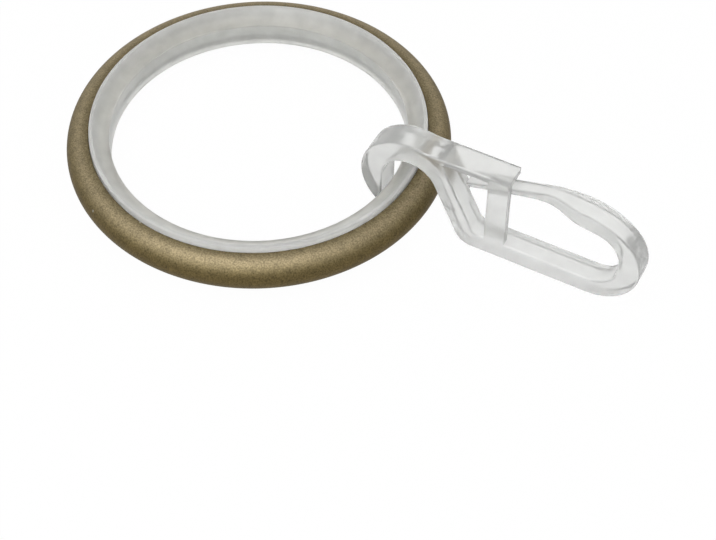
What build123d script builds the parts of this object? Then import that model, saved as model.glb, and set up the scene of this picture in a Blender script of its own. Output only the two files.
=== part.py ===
from build123d import *
from math import asin, atan2, cos, degrees, radians, sin, sqrt, tan
import os

# Curtain ring with a pleat hook, in millimetres. The origin is the middle of the rod bore, +Z runs along
# the bore, and the hook's long loop points along +X. The ring lies flat and the hook stands over it.

# A rounding takes at most this part of the wall it is on
round_limit = 0.4

# Glide liner: a hoop of plastic round the rod bore, taller than the channel, with two legs that sit in it
rod_bore_diameter = 31.0
land_height = 2.6
liner_height = 5.0
liner_width = 2.0
rim_width = 0.4
rim_step = 0.05
rim_round = 0.15
flank_hollow = 0.13
liner_wall = 0.8
liner_leg_reach = 1.0
liner_clearance = 0.05

# Metal ring: a half-round channel round the liner, rolled from strip, open towards the rod
channel_depth = 2.45
channel_height = 4.0
metal_thickness = 0.5
metal_edge_round = 0.15

# Pleat hook, its eye: an open hoop that stands over the ring's section
eye_width = 3.0
hook_width = 2.54
hook_edge_round = 0.22
eye_inner_radius = 3.0
eye_wall = 2.4
eye_clearance = 0.15
leg_drop = 1.1
leg_tip_width = 0.74
leg_tip_round = 0.2

# Pleat hook, its flat tab and the bent bar: strut, rail and round end
tab_drop = 0.2
tab_thickness = 0.7
tab_blend_radius = 14.0
strut_thickness = 2.1
rail_thickness = 2.05
strut_lean = 25.0
strut_foot_radius = 2.0
window_reach = 14.1
end_wall = 2.3
end_sweep = 139.0
shoulder_radius = 8.25
shoulder_sweep = 39.5

# Pleat hook, its springy arm, the window under it and the thin web across the front
crest_radius = 12.4
arm_tip_clearance = 1.2
arm_tip_gap = 2.15
arm_tip_thickness = 0.65
arm_setback = 1.0
arm_narrow_back = 6.25
arm_narrow_length = 4.7
roof_back = 10.35
roof_depth = 1.38
roof_slope = 9.0
window_foot_radius = 0.9
window_lower_radius = 2.6
window_upper_radius = 3.0
window_crest_radius = 12.0
web_gap = 1.25
web_width = 2.15
web_thickness = 0.85

# Places that follow from those sizes
bore_radius = rod_bore_diameter / 2
rim_radius = bore_radius + liner_width
rim_inner = rim_radius - rim_width
channel_radius = rim_radius + liner_clearance
channel_half = channel_height / 2
ring_outer_radius = channel_radius + channel_depth
half_height = liner_height / 2
section_middle = (ring_outer_radius + bore_radius) / 2
section_width = ring_outer_radius - bore_radius
floor = -half_height

os.makedirs("parts", exist_ok=True)


# Metal ring: half an oval tube wall in section, its two edges rounded, turned about the bore
with BuildPart() as metal_ring:
    with BuildSketch(Plane.XZ) as channel_section:
        with Locations((channel_radius, 0)):
            Ellipse(channel_depth, channel_half)
            Ellipse(channel_depth - metal_thickness, channel_half - metal_thickness, mode=Mode.SUBTRACT)
            Rectangle(section_width, channel_height, align=(Align.MAX, Align.CENTER), mode=Mode.SUBTRACT)
        edges = channel_section.vertices().group_by(Axis.X)[0]
        fillet(edges, min(metal_edge_round, round_limit * metal_thickness))
    revolve(axis=Axis.Z)
metal_ring.part.label = "metal_ring"
export_step(metal_ring.part, "parts/metal_ring.step")


# Glide liner: a land for the rod, two hollowed flanks, a rim that stands up beside each edge of the
# metal, and a hollow back whose legs follow the channel
leg_depth = channel_depth - metal_thickness - liner_clearance
leg_half = channel_half - metal_thickness - liner_clearance
hollow_half = leg_half - liner_wall
with BuildPart() as glide_liner:
    with BuildSketch(Plane.XZ) as liner_section:
        with BuildLine():
            land = Line((bore_radius, -land_height / 2), (bore_radius, land_height / 2))
            upper = SagittaArc(land @ 1, (rim_inner, half_height - rim_step), -flank_hollow)
            lower = SagittaArc(land @ 0, (rim_inner, rim_step - half_height), flank_hollow)
            Polyline(
                upper @ 1,
                (rim_inner, half_height),
                (rim_radius, half_height),
                (rim_radius, -half_height),
                (rim_inner, -half_height),
                lower @ 1,
            )
        make_face()
        fillet(liner_section.vertices().group_by(Axis.X)[-1], min(rim_round, round_limit * rim_width))
        with BuildSketch(Plane.XZ) as legs:
            with Locations((channel_radius, 0)):
                Ellipse(leg_depth, leg_half)
            with Locations((rim_radius - liner_clearance, 0)):
                Rectangle(
                    liner_leg_reach, channel_height, align=(Align.MIN, Align.CENTER), mode=Mode.INTERSECT
                )
        with Locations((bore_radius + liner_wall, 0)):
            SlotOverall(
                section_width, 2 * hollow_half, align=(Align.MIN, Align.CENTER), mode=Mode.SUBTRACT
            )
    revolve(axis=Axis.Z)
glide_liner.part.label = "glide_liner"
export_step(glide_liner.part, "parts/glide_liner.step")


# Pleat hook: the places on its side profile, X out from the bore and Z up. The eye comes first
half_width = hook_width / 2
hinge_radius = sqrt((section_middle - rim_inner) ** 2 + half_height**2) + eye_clearance
eye_x = section_middle - hinge_radius + eye_inner_radius
eye_outer_radius = eye_inner_radius + eye_wall
leg_tip_x = section_middle - sqrt(hinge_radius**2 - leg_drop**2) - leg_tip_width
eye_rise = sqrt(eye_outer_radius**2 - (eye_x - leg_tip_x) ** 2) - leg_drop
eye_centre = Vector(eye_x, eye_rise)
crown = eye_rise + eye_outer_radius
tab_top = crown - tab_drop
tab_under = tab_top - tab_thickness
tab_middle = tab_top - tab_thickness / 2
rail_top = floor + rail_thickness

# The strut leans away from the eye, whose hole its inner edge touches
lean = radians(strut_lean)
strut_across = Vector(cos(lean), sin(lean))
strut_inner = eye_centre + strut_across * eye_inner_radius
strut_outer = strut_inner + strut_across * strut_thickness


def on_strut(edge, height):
    """The place on one edge of the leaning strut at a height."""
    return Vector(edge.X + (edge.Y - height) * tan(lean), height)


# The web ends with the tab, and the window and its round end lie beyond them
strut_foot = on_strut(strut_outer, rail_top)
tab_end = strut_foot.X + web_gap + web_width
loop_end = tab_end + window_reach
window_end = loop_end - end_wall
window_corner = Vector(window_end, rail_top)

# The arm comes back from a crest as high as the eye's crown, and its tip ends under the tab
tip_height = tab_under - arm_tip_gap
tip_top = Vector(on_strut(strut_outer, tip_height).X + arm_tip_clearance, tip_height)
tip_under = tip_top - Vector(0, arm_tip_thickness)
arm_front = arm_setback - half_width
end_turn = cos(radians(end_sweep))
shoulder_turn = cos(radians(end_sweep + shoulder_sweep))
shoulder_climb = shoulder_radius * (end_turn - shoulder_turn)
crest_climb = crest_radius * (shoulder_turn + 1)
end_radius = (crown - floor - shoulder_climb - crest_climb) / (1 - end_turn)

edge_round = min(hook_edge_round, round_limit * arm_tip_thickness, round_limit * tab_thickness)

# Strut, rail, round end and arm: one bar bent round a long window
with BuildPart() as bar:
    with BuildSketch(Plane.XZ) as bar_side:
        with BuildLine():
            strut_edge = Line(on_strut(strut_inner, tab_middle), on_strut(strut_inner, floor))
            rail_under = Line(strut_edge @ 1, (loop_end - end_radius, floor))
            end = JernArc(rail_under @ 1, rail_under % 1, end_radius, end_sweep)
            shoulder = JernArc(end @ 1, end % 1, shoulder_radius, shoulder_sweep)
            crest_centre = shoulder @ 1 + (shoulder % 1).rotate(Axis.Z, 90) * crest_radius
            to_crest = crest_centre - tip_top
            arm_slope = degrees(atan2(to_crest.Y, to_crest.X) + asin(crest_radius / to_crest.length))
            crest_sweep = 180 + arm_slope - end_sweep - shoulder_sweep
            crest = JernArc(shoulder @ 1, shoulder % 1, crest_radius, crest_sweep)
            arm_top = Line(crest @ 1, tip_top)
            roof_crest = Vector(loop_end - roof_back, crown - roof_depth)
            roof_fall = (window_end - roof_crest.X) * tan(radians(roof_slope))
            roof_foot = Vector(window_end, roof_crest.Y - roof_fall)
            Polyline(
                tip_top,
                tip_under,
                roof_crest,
                roof_foot,
                window_corner,
                strut_foot,
                on_strut(strut_outer, tab_middle),
                strut_edge @ 0,
            )
        make_face()
        for corner, radius in (
            (strut_edge @ 1, strut_foot_radius),
            (strut_foot, window_foot_radius),
            (window_corner, window_lower_radius),
            (roof_foot, window_upper_radius),
            (roof_crest, window_crest_radius),
            (tip_under, round_limit * arm_tip_thickness),
            (tip_top, round_limit * arm_tip_thickness),
        ):
            fillet(bar_side.vertices().sort_by_distance(corner)[0], radius)
    extrude(amount=half_width, both=True)

    # The arm is narrower than the bar: its front is set back, with an easy curve into the round end
    with BuildSketch(Plane.XY.offset(tip_under.Y - arm_tip_thickness / 2)) as arm_relief:
        with BuildLine():
            easing_end = Vector(loop_end - arm_narrow_back, -half_width)
            narrow_end = easing_end.X - arm_narrow_length
            arm_face = Line((tip_top.X - arm_tip_thickness / 4, arm_front), (narrow_end, arm_front))
            Spline(arm_face @ 1, easing_end, tangents=((1, 0), (1, 0)))
            Polyline(
                easing_end, (easing_end.X, -hook_width), ((arm_face @ 0).X, -hook_width), arm_face @ 0
            )
        make_face()
    extrude(amount=window_reach, mode=Mode.SUBTRACT)
    front = bar.faces().filter_by(lambda face: face.normal_at().Y < -0.5)
    back = bar.faces().sort_by(Axis.Y)[-1]
    joints = [edge for edge in front.edges() if sum(edge in face.edges() for face in front) > 1]
    fillet(front.edges().filter_by(lambda edge: edge not in joints) + back.edges(), edge_round)

# Eye and tab: a thick hoop with a flat plate on top, opened from below for the ring's section. It is
# flush with the bar in front and stands out behind it, with a plain step across the strut
with BuildPart() as eye:
    with BuildSketch(Plane.XZ.offset(half_width)) as eye_side:
        with Locations(eye_centre):
            Circle(eye_outer_radius)
        with Locations((eye_x, tab_top)):
            Rectangle(tab_end - eye_x, tab_thickness, align=(Align.MIN, Align.MAX))
        blend = Vector(eye_x + sqrt(eye_outer_radius**2 - (tab_top - eye_rise) ** 2), tab_top)
        fillet(eye_side.vertices().sort_by_distance(blend)[0], tab_blend_radius)
        with BuildLine():
            Polyline(
                eye_centre,
                strut_outer,
                on_strut(strut_outer, tab_middle),
                (eye_x, tab_middle),
                close=True,
            )
        make_face()
        with Locations(eye_centre):
            Circle(eye_inner_radius, mode=Mode.SUBTRACT)
        with Locations((section_middle, 0)):
            Circle(hinge_radius, mode=Mode.SUBTRACT)
        with BuildLine():
            Polyline(
                (eye_x - eye_inner_radius, eye_rise),
                (eye_x - eye_inner_radius, 0),
                (section_middle, -leg_drop),
                on_strut(strut_inner, -leg_drop),
                strut_inner,
                eye_centre,
                close=True,
            )
        make_face(mode=Mode.SUBTRACT)
        with BuildLine():
            Polyline(
                on_strut(strut_outer, tab_under),
                on_strut(strut_outer, floor),
                (loop_end, floor),
                (loop_end, tab_under),
                close=True,
            )
        make_face(mode=Mode.SUBTRACT)
        with Locations((eye_x, -leg_drop)):
            Rectangle(
                2 * eye_outer_radius, eye_outer_radius, align=(Align.CENTER, Align.MAX), mode=Mode.SUBTRACT
            )
        fillet(eye_side.vertices().group_by(Axis.Y)[0], min(leg_tip_round, round_limit * leg_tip_width))
    extrude(amount=-eye_width)
    rims = eye.faces().filter_by(Axis.Y).edges()
    step = rims.filter_by(GeomType.CIRCLE).sort_by(Axis.X)[-2:]
    fillet(rims.filter_by(lambda edge: edge not in step), edge_round)

# The moulding is one piece with a web, a thin wall across the front between the tab's end and the rail
with BuildPart() as pleat_hook:
    add(bar.part)
    add(eye.part)
    with BuildSketch(Plane.XZ.offset(half_width)) as web_front:
        with Locations((tab_end, tab_middle)):
            Rectangle(web_width, tab_middle - rail_top + rail_thickness / 2, align=(Align.MAX, Align.MAX))
    extrude(amount=-web_thickness)
pleat_hook.part.label = "pleat_hook"
export_step(pleat_hook.part, "parts/pleat_hook.step")
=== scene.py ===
import bmesh
import bpy
import math
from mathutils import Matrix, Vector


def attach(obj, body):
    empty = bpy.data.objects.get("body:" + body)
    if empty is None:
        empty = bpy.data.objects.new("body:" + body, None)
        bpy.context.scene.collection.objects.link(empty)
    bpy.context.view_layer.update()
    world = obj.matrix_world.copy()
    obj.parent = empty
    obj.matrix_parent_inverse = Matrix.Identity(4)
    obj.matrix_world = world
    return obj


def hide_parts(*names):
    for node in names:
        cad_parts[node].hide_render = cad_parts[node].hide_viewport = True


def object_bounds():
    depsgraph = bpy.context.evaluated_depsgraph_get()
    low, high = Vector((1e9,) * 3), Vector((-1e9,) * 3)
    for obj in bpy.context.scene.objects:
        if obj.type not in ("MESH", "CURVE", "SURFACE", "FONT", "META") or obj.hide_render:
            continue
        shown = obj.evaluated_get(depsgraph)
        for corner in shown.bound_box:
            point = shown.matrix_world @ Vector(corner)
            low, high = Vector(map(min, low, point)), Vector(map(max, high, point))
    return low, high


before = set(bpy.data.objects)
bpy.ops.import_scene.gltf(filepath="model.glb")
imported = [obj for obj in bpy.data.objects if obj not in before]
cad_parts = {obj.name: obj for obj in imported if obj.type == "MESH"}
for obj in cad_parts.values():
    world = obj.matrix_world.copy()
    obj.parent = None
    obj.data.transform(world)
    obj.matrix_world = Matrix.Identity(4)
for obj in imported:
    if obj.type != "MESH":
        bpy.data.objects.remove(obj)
cad_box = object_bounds()
scene = bpy.context.scene
mm = 0.001


# Metal ring: a channel rolled from thin steel strip, half oval outside and open towards the rod, with the
# liner snapped into it. It has an antique bronze lacquer with a fine grain, a painted highlight along its
# upper and lower shoulders with painted shade beside them, and two small nicks on the near side.
channel_radius = 17.55
channel_depth = 2.45
channel_half = 2.0
strip_thickness = 0.5
strip_edge_round = 0.15
bronze_metallic = 0.85
bronze_roughness = 0.58
bronze_grain = 0.16
bronze_mottle = 0.9
bronze_mottle_share = 0.25
# Tone round the section: the light stop at 0.66 is a painted highlight, and the dark stops at the equator and
# the edge are painted shade
bronze_painted_light = (
    (0.0, (0.135, 0.099, 0.038)),
    (0.22, (0.125, 0.092, 0.036)),
    (0.42, (0.18, 0.140, 0.063)),
    (0.66, (0.35, 0.288, 0.176)),
    (0.82, (0.26, 0.212, 0.122)),
    (1.0, (0.14, 0.112, 0.056)),
)
nicks = (
    {"place": (-8.95, -17.56, 0.93), "radius": 0.22, "colour": (0.36, 0.335, 0.274)},
    {"place": (-3.4, -17.3, 2.0), "radius": 0.2, "colour": (0.6, 0.558, 0.456)},
)


def begin(name):
    """A new material, its node tree and its main shader."""
    material = bpy.data.materials.new(name)
    material.use_nodes = True
    tree = material.node_tree
    return material, tree, tree.nodes["Principled BSDF"]


def feed(tree, socket, value):
    """Links an input socket to an output socket, or sets it to a plain value."""
    if isinstance(value, bpy.types.NodeSocket):
        tree.links.new(value, socket)
    else:
        socket.default_value = value


def reckon(tree, operation, *values):
    """A sum on sockets and plain numbers."""
    node = tree.nodes.new("ShaderNodeMath")
    node.operation = operation
    for socket, value in zip(node.inputs, values):
        feed(tree, socket, value)
    return node.outputs[0]


def carry(tree, value, old_range, new_range, kind="LINEAR", clamp=True):
    """A value carried over from one range to another."""
    node = tree.nodes.new("ShaderNodeMapRange")
    node.interpolation_type = kind
    node.clamp = clamp
    limits = zip(("From Min", "From Max", "To Min", "To Max"), (*old_range, *new_range))
    for name, limit in limits:
        feed(tree, node.inputs[name], limit)
    feed(tree, node.inputs["Value"], value)
    return node.outputs["Result"]


def mix(tree, share, first, second):
    """A value between two others, by a share of the second."""
    node = tree.nodes.new("ShaderNodeMix")
    feed(tree, node.inputs["Factor"], share)
    feed(tree, node.inputs["A"], first)
    feed(tree, node.inputs["B"], second)
    return node.outputs["Result"]


def shade_along(tree, value, stops, kind="LINEAR"):
    """A colour that changes along a value."""
    node = tree.nodes.new("ShaderNodeValToRGB")
    ramp = node.color_ramp
    ramp.interpolation = kind
    while len(ramp.elements) < len(stops):
        ramp.elements.new(0.5)
    for element, (position, colour) in zip(ramp.elements, stops):
        element.position = position
        element.color = (*colour, 1)
    feed(tree, node.inputs["Fac"], value)
    return node.outputs["Color"]


def lighten(tree, colour, factor):
    """A colour times a factor that changes over the surface."""
    node = tree.nodes.new("ShaderNodeVectorMath")
    node.operation = "SCALE"
    feed(tree, node.inputs[0], colour)
    feed(tree, node.inputs["Scale"], factor)
    return node.outputs["Vector"]


def cover(tree, mask, under, over):
    """A plain colour laid over another one where a mask says so."""
    node = tree.nodes.new("ShaderNodeMix")
    node.data_type = "RGBA"
    factor, first, second = node.inputs[0], node.inputs[6], node.inputs[7]
    feed(tree, factor, mask)
    feed(tree, first, under)
    feed(tree, second, (*over, 1))
    return node.outputs[2]


def roughen(tree, shader, height, strength, depth):
    """Fine relief on a surface, its depth in millimetres."""
    node = tree.nodes.new("ShaderNodeBump")
    node.inputs["Strength"].default_value = strength
    node.inputs["Distance"].default_value = depth * mm
    feed(tree, node.inputs["Height"], height)
    feed(tree, shader.inputs["Normal"], node.outputs["Normal"])


def new_effect(name, inputs, outputs):
    """An empty shader node group, with its input and output nodes and the place on the piece."""
    group = bpy.data.node_groups.new(name, "ShaderNodeTree")
    for label, kind in inputs:
        group.interface.new_socket(label, in_out="INPUT", socket_type=kind)
    for label in outputs:
        group.interface.new_socket(label, in_out="OUTPUT", socket_type="NodeSocketFloat")
    given = group.nodes.new("NodeGroupInput")
    result = group.nodes.new("NodeGroupOutput")
    place = group.nodes.new("ShaderNodeTexCoord").outputs["Object"]
    return group, given, result, place


def use_effect(tree, group, **settings):
    """An effect placed in a material with its own values, and its output sockets."""
    node = tree.nodes.new("ShaderNodeGroup")
    node.node_tree = group
    for name, value in settings.items():
        node.inputs[name].default_value = value
    return node.outputs


# Speckle: a fine grain and a slower mottle, each a value about one half
speckle_inputs = (("grain", "NodeSocketFloat"), ("mottle", "NodeSocketFloat"))
speckle, given, result, place = new_effect("speckle", speckle_inputs, ("Grain", "Mottle"))
for size, output in (("grain", "Grain"), ("mottle", "Mottle")):
    noise = speckle.nodes.new("ShaderNodeTexNoise")
    noise.inputs["Detail"].default_value = 3.0
    feed(speckle, noise.inputs["Scale"], reckon(speckle, "DIVIDE", 1.0, given.outputs[size]))
    feed(speckle, noise.inputs["Vector"], place)
    feed(speckle, result.inputs[output], noise.outputs["Fac"])

# Spot: a small round mark, one at its middle and fading out to its edge
spot_inputs = (("middle", "NodeSocketVector"), ("radius", "NodeSocketFloat"))
spot, given, result, place = new_effect("spot", spot_inputs, ("Mask",))
away = spot.nodes.new("ShaderNodeVectorMath")
away.operation = "DISTANCE"
feed(spot, away.inputs[0], place)
feed(spot, away.inputs[1], given.outputs["middle"])
spot_edge = given.outputs["radius"]
spot_mask = carry(spot, away.outputs["Value"], (0.0, spot_edge), (1.0, 0.0), "SMOOTHSTEP")
feed(spot, result.inputs["Mask"], spot_mask)

# Ring section: how far a place is from the bore's axis and from the ring's middle plane
ring_section, given, result, place = new_effect("ring_section", (), ("Radius", "Height"))
apart = ring_section.nodes.new("ShaderNodeSeparateXYZ")
feed(ring_section, apart.inputs["Vector"], place)
flat = ring_section.nodes.new("ShaderNodeVectorMath")
flat.operation = "MULTIPLY"
flat.inputs[1].default_value = (1, 1, 0)
feed(ring_section, flat.inputs[0], place)
reach = ring_section.nodes.new("ShaderNodeVectorMath")
reach.operation = "LENGTH"
feed(ring_section, reach.inputs[0], flat.outputs["Vector"])
feed(ring_section, result.inputs["Radius"], reach.outputs["Value"])
feed(ring_section, result.inputs["Height"], reckon(ring_section, "ABSOLUTE", apart.outputs["Z"]))

# The lacquer's tone follows the angle round the channel's section, from its equator to its edge, with a
# painted highlight on the shoulder and painted shade at the equator and beside the liner
bronze, tree, shader = begin("bronze_metal")
shader.inputs["Metallic"].default_value = bronze_metallic
shader.inputs["Roughness"].default_value = bronze_roughness
section = use_effect(tree, ring_section)
channel_span = (channel_radius * mm, (channel_radius + channel_depth) * mm)
outward = carry(tree, section["Radius"], channel_span, (0.0, 1.0), clamp=False)
upward = reckon(tree, "DIVIDE", section["Height"], channel_half * mm)
quarter_turn = reckon(tree, "DIVIDE", reckon(tree, "ARCTAN2", upward, outward), math.pi / 2)
colour = shade_along(tree, quarter_turn, bronze_painted_light, "B_SPLINE")
grain = use_effect(tree, speckle, grain=bronze_grain * mm, mottle=bronze_mottle * mm)
speckles = mix(tree, bronze_mottle_share, grain["Grain"], grain["Mottle"])
colour = lighten(tree, colour, carry(tree, speckles, (0.3, 0.7), (0.55, 1.45)))
for nick in nicks:
    middle = [value * mm for value in nick["place"]]
    mark = use_effect(tree, spot, middle=middle, radius=nick["radius"] * mm)
    colour = cover(tree, mark["Mask"], colour, nick["colour"])
feed(tree, shader.inputs["Base Color"], colour)
roughen(tree, shader, grain["Grain"], 0.5, 0.03)

# Hoop: a profile drawn in the plane of radius and height, swept once round the bore
hoop = bpy.data.node_groups.new("hoop", "GeometryNodeTree")
hoop.interface.new_socket("Profile", in_out="INPUT", socket_type="NodeSocketGeometry")
hoop_radius = hoop.interface.new_socket("Radius", in_out="INPUT", socket_type="NodeSocketFloat")
hoop_steps = hoop.interface.new_socket("Steps", in_out="INPUT", socket_type="NodeSocketInt")
hoop_material = hoop.interface.new_socket("Material", in_out="INPUT", socket_type="NodeSocketMaterial")
hoop.interface.new_socket("Hoop", in_out="OUTPUT", socket_type="NodeSocketGeometry")
given = hoop.nodes.new("NodeGroupInput")
result = hoop.nodes.new("NodeGroupOutput")
outline = hoop.nodes.new("GeometryNodeMeshToCurve")
circle = hoop.nodes.new("GeometryNodeCurvePrimitiveCircle")
upright = hoop.nodes.new("GeometryNodeSetCurveNormal")
upright.mode = "Z_UP"
sweep = hoop.nodes.new("GeometryNodeCurveToMesh")
smooth = hoop.nodes.new("GeometryNodeSetShadeSmooth")
real = hoop.nodes.new("GeometryNodeRealizeInstances")
paint = hoop.nodes.new("GeometryNodeSetMaterial")
feed(hoop, outline.inputs["Mesh"], given.outputs["Profile"])
feed(hoop, circle.inputs["Radius"], given.outputs["Radius"])
feed(hoop, circle.inputs["Resolution"], given.outputs["Steps"])
feed(hoop, upright.inputs["Curve"], circle.outputs["Curve"])
feed(hoop, sweep.inputs["Curve"], upright.outputs["Curve"])
feed(hoop, sweep.inputs["Profile Curve"], outline.outputs["Curve"])
feed(hoop, smooth.inputs["Geometry"], sweep.outputs["Mesh"])
feed(hoop, real.inputs["Geometry"], smooth.outputs["Geometry"])
feed(hoop, paint.inputs["Geometry"], real.outputs["Geometry"])
feed(hoop, paint.inputs["Material"], given.outputs["Material"])
feed(hoop, result.inputs["Hoop"], paint.outputs["Geometry"])


def arc(middle, half_axes, first, last, steps):
    """Points along an arc of an oval, as radius and height, from one angle in degrees to another."""
    points = []
    for step in range(steps + 1):
        angle = math.radians(first + (last - first) * step / steps)
        r = middle[0] + half_axes[0] * math.cos(angle)
        points.append((r, middle[1] + half_axes[1] * math.sin(angle)))
    return points


def sweep_round(name, radius, upper_half, material):
    """The upper half of a profile and its mirror image, in millimetres, swept round the bore as a mesh."""
    lower_half = [(r, -z) for r, z in reversed(upper_half) if abs(z) > 1e-6]
    corners = [((r - radius) * mm, -z * mm, 0) for r, z in upper_half + lower_half]
    drawn = bpy.data.meshes.new(name + "_profile")
    drawn.from_pydata(corners, [(i, (i + 1) % len(corners)) for i in range(len(corners))], [])
    holder = bpy.data.objects.new(name + "_profile", drawn)
    scene.collection.objects.link(holder)
    modifier = holder.modifiers.new("hoop", "NODES")
    modifier.node_group = hoop
    modifier[hoop_radius.identifier] = radius * mm
    modifier[hoop_steps.identifier] = 400
    modifier[hoop_material.identifier] = material
    evaluated = holder.evaluated_get(bpy.context.evaluated_depsgraph_get())
    mesh = bpy.data.meshes.new_from_object(evaluated)
    bpy.data.objects.remove(holder)
    mesh.set_sharp_from_angle(angle=math.radians(35))
    piece = bpy.data.objects.new(name, mesh)
    scene.collection.objects.link(piece)
    return piece


# The strip's inner face, its rounded edge and its outer face
channel_middle = (channel_radius, 0)
inner_axes = (channel_depth - strip_thickness, channel_half - strip_thickness)
edge_axes = (strip_edge_round, strip_edge_round)
edge_middle = channel_radius + strip_edge_round
strip_section = arc(channel_middle, inner_axes, 0, 84, 7)
strip_section += arc((edge_middle, channel_half - strip_thickness + strip_edge_round), edge_axes, 270, 180, 4)
strip_section += arc((edge_middle, channel_half - strip_edge_round), edge_axes, 180, 90, 4)
strip_section += arc(channel_middle, (channel_depth, channel_half), 86, 0, 43)
ring = sweep_round("ring_metal", channel_radius, strip_section, bronze)
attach(ring, "ring")
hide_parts("metal_ring")


# Glide liner: a moulded hoop of frosted, see-through plastic, so that the ring runs quietly on its rod. Its
# legs are snapped into the channel, its rims stand up beside the metal's edges, and between them and the
# land that meets the rod it has hollowed flanks.
liner_clearance = 0.05
liner_width = 2.0
liner_wall = 0.8
land_half = 1.3
rim_width = 0.4
rim_top = 2.5
rim_step = 0.05
rim_round = 0.15
rim_lip = 0.03
flank_hollow = 0.13
flank_steps = 16
leg_reach = 1.0
rim_radius = channel_radius - liner_clearance
rim_inner = rim_radius - rim_width
bore_radius = rim_radius - liner_width
# Tone up the liner's height: the darker stop at the foot of the flanks is painted shade where the metal
# behind shows through
frosted_painted_shade = (
    (0.42, (0.86, 0.87, 0.84)),
    (0.53, (0.67, 0.66, 0.615)),
    (0.68, (0.79, 0.785, 0.745)),
    (0.92, (0.88, 0.885, 0.85)),
)
# A painted highlight along the rims, fading in outwards from the rim's inner edge
painted_rim_highlight = (0.98, 0.97, 0.93)
rim_highlight_fade = 0.3
frosted_grain = 0.15
frosted_mottle = 1.6
plastic_ior = 1.49


def make_milky(shader, roughness, clearness, depth):
    """Plastic that lets light through and scatters it to a depth in millimetres."""
    shader.inputs["Roughness"].default_value = roughness
    shader.inputs["IOR"].default_value = plastic_ior
    shader.inputs["Transmission Weight"].default_value = clearness
    shader.inputs["Subsurface Weight"].default_value = 1.0
    shader.inputs["Subsurface Radius"].default_value = (1, 1, 1)
    shader.inputs["Subsurface Scale"].default_value = depth * mm


# Painted shade in a darker band low on the flanks, where the metal behind would show through the thin
# plastic, and a painted highlight along the rims
frosted, tree, shader = begin("frosted_plastic")
make_milky(shader, 0.3, 0.6, 1.2)
section = use_effect(tree, ring_section)
grain = use_effect(tree, speckle, grain=frosted_grain * mm, mottle=frosted_mottle * mm)
level = carry(tree, section["Height"], (0.0, rim_top * mm), (0.0, 1.0))
colour = shade_along(tree, level, frosted_painted_shade)
rim_highlight_span = (rim_inner * mm, (rim_inner + rim_highlight_fade) * mm)
rim_highlight_mask = carry(tree, section["Radius"], rim_highlight_span, (0.0, 1.0), "SMOOTHSTEP")
colour = cover(tree, rim_highlight_mask, colour, painted_rim_highlight)
colour = lighten(tree, colour, carry(tree, grain["Mottle"], (0.3, 0.7), (0.9, 1.06)))
feed(tree, shader.inputs["Base Color"], colour)
roughen(tree, shader, grain["Grain"], 0.3, 0.02)

# The flank sags between the land and the rim, and the rim's outer edge is rounded
flank_run = rim_inner - bore_radius
flank_rise = rim_top - rim_step - land_half
flank_chord = math.hypot(flank_run, flank_rise)
liner_section = []
for step in range(flank_steps + 1):
    along = step / flank_steps
    sag = 4 * flank_hollow * along * (1 - along)
    r = bore_radius + flank_run * along + sag * flank_rise / flank_chord
    liner_section.append((r, land_half + flank_rise * along - sag * flank_run / flank_chord))
liner_section += [(rim_inner, rim_top - rim_lip), (rim_inner + rim_lip, rim_top)]
liner_section += arc((rim_radius - rim_round, rim_top - rim_round), (rim_round, rim_round), 90, 0, 6)

# The legs follow the channel inside, and a hollow between them lets them spring together
leg_axes = (inner_axes[0] - liner_clearance, inner_axes[1] - liner_clearance)
leg_end = rim_radius - liner_clearance + leg_reach
leg_end_turn = math.degrees(math.acos((leg_end - channel_radius) / leg_axes[0]))
hollow_half = leg_axes[1] - liner_wall
hollow_middle = (bore_radius + liner_wall + hollow_half, 0)
liner_section.append((rim_radius, leg_axes[1]))
liner_section += arc(channel_middle, leg_axes, 88, leg_end_turn, 5)
liner_section.append((leg_end, hollow_half))
liner_section += arc(hollow_middle, (hollow_half, hollow_half), 90, 180, 6)
liner = sweep_round("liner_plastic", rim_radius, liner_section, frosted)
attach(liner, "ring")
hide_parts("glide_liner")


# Pleat hook: one moulding of clear plastic, a little milky, with soft edges, hung over the ring by its
# open eye. Its form is the solid's own, with the loose triangles joined and the smooth normals kept.
clear_grain = 0.4
clear_mottle = 2.0
clear_cloud = ((0.3, (0.76, 0.765, 0.75)), (0.7, (0.84, 0.845, 0.83)))
join_distance = 0.0001

clear, tree, shader = begin("clear_plastic")
make_milky(shader, 0.2, 0.78, 1.0)
grain = use_effect(tree, speckle, grain=clear_grain * mm, mottle=clear_mottle * mm)
colour = shade_along(tree, grain["Mottle"], clear_cloud)
# Painted shade where the surface is seen edge-on, so the outlines turn darker
painted_edge_shade = tree.nodes.new("ShaderNodeLayerWeight")
painted_edge_shade.inputs["Blend"].default_value = 0.5
colour = lighten(tree, colour, carry(tree, painted_edge_shade.outputs["Facing"], (0.7, 1.0), (1.0, 0.55)))
feed(tree, shader.inputs["Base Color"], colour)
roughen(tree, shader, grain["Mottle"], 0.2, 0.03)

hook_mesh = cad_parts["pleat_hook"].data.copy()
facing = hook_mesh.attributes.new("facing", "FLOAT_VECTOR", "CORNER")
facing.data.foreach_set("vector", [part for corner in hook_mesh.corner_normals for part in corner.vector])
joined = bmesh.new()
joined.from_mesh(hook_mesh)
bmesh.ops.remove_doubles(joined, verts=joined.verts, dist=join_distance * mm)
joined.to_mesh(hook_mesh)
joined.free()
facing = hook_mesh.attributes["facing"]
hook_mesh.normals_split_custom_set([tuple(corner.vector) for corner in facing.data])
hook_mesh.attributes.remove(hook_mesh.attributes["facing"])
hook_mesh.materials.clear()
hook_mesh.materials.append(clear)
hook = bpy.data.objects.new("hook_clear", hook_mesh)
scene.collection.objects.link(hook)
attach(hook, "hook")
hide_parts("pleat_hook")


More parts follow.
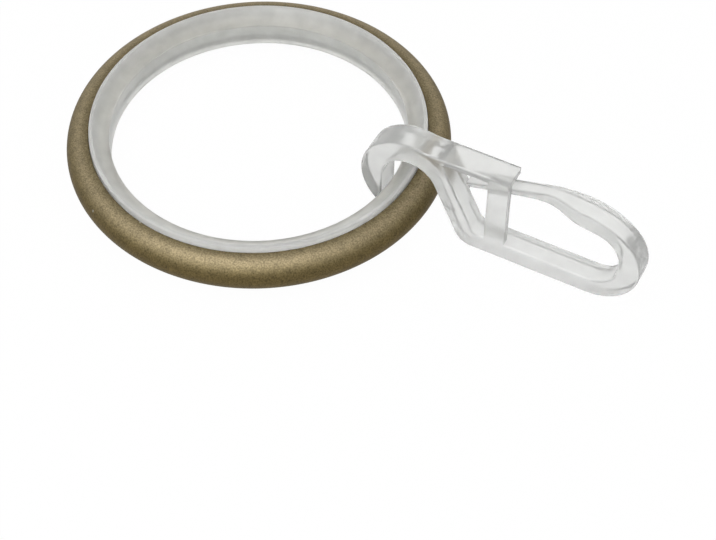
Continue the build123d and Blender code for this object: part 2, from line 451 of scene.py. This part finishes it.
# Floor and backdrop: one sheet of white paper, on which the ring lies. It shows white to the camera and
# through clear pieces, and a little darker in what mirrors it.
floor_half = 0.6
floor_z = cad_box[0][2]
floor_white = 0.75
floor_to_camera = 0.98
mirrored_level = 0.6
floor_mesh = bpy.data.meshes.new("floor")
floor_signs = ((-1, -1), (1, -1), (1, 1), (-1, 1))
floor_corners = [(x * floor_half, y * floor_half, floor_z) for x, y in floor_signs]
floor_mesh.from_pydata(floor_corners, [], [(0, 1, 2, 3)])
floor = bpy.data.objects.new("floor", floor_mesh)
scene.collection.objects.link(floor)
paper, tree, shader = begin("white_paper")
shader.inputs["Base Color"].default_value = (floor_white, floor_white, floor_white, 1)
shader.inputs["Roughness"].default_value = 0.9
glow = tree.nodes.new("ShaderNodeEmission")
glow.inputs["Color"].default_value = (1, 1, 1, 1)
glow.inputs["Strength"].default_value = 1.0
path = tree.nodes.new("ShaderNodeLightPath").outputs
to_mirror = reckon(tree, "MULTIPLY", path["Is Glossy Ray"], mirrored_level)
to_camera = reckon(tree, "MULTIPLY", path["Is Camera Ray"], floor_to_camera)
white = reckon(tree, "MAXIMUM", reckon(tree, "MAXIMUM", path["Is Transmission Ray"], to_mirror), to_camera)
surface = tree.nodes.new("ShaderNodeMixShader")
feed(tree, surface.inputs["Fac"], white)
feed(tree, surface.inputs[1], shader.outputs["BSDF"])
feed(tree, surface.inputs[2], glow.outputs["Emission"])
feed(tree, tree.nodes["Material Output"].inputs["Surface"], surface.outputs["Shader"])
floor_mesh.materials.append(paper)


# Light: a wide soft lamp above the camera's side, and a room that is brighter towards a window beyond the
# ring. The room shows white to the camera and through clear pieces.
window_direction = (0.45, 0.6, 0.66)
room_levels = (0.2, 0.9)
room = bpy.data.worlds.new("room")
scene.world = room
room.use_nodes = True
tree = room.node_tree
path = tree.nodes.new("ShaderNodeLightPath").outputs
to_window = tree.nodes.new("ShaderNodeVectorMath")
to_window.operation = "DOT_PRODUCT"
to_window.inputs[1].default_value = window_direction
feed(tree, to_window.inputs[0], tree.nodes.new("ShaderNodeTexCoord").outputs["Generated"])
daylight = carry(tree, to_window.outputs["Value"], (-0.6, 1.0), room_levels)
reflected = mix(tree, path["Is Glossy Ray"], daylight, mirrored_level)
seen = reckon(tree, "MAXIMUM", path["Is Camera Ray"], path["Is Transmission Ray"])
background = tree.nodes["Background"]
background.inputs["Color"].default_value = (1, 1, 1, 1)
feed(tree, background.inputs["Strength"], mix(tree, seen, reflected, 1.0))
lamp = bpy.data.lights.new("key", "AREA")
lamp.size = 0.4
lamp.energy = 1.5
key = bpy.data.objects.new("key", lamp)
key.location = (0.0, -0.2, 0.38)
key.rotation_euler = (math.radians(27.8), 0, 0)
scene.collection.objects.link(key)


# Camera: at the photograph's place, fitted to the ring's outlines in a picture of 716 by 540.
camera = bpy.data.cameras.new("camera")
camera.lens = 87.6
camera.sensor_width = 36.0
view = bpy.data.objects.new("camera", camera)
view.location = (0.06877, -0.10678, 0.13129)
view.rotation_euler = (math.radians(39.56), 0, math.radians(28.14))
scene.collection.objects.link(view)
scene.camera = view
scene.view_settings.view_transform = "Standard"
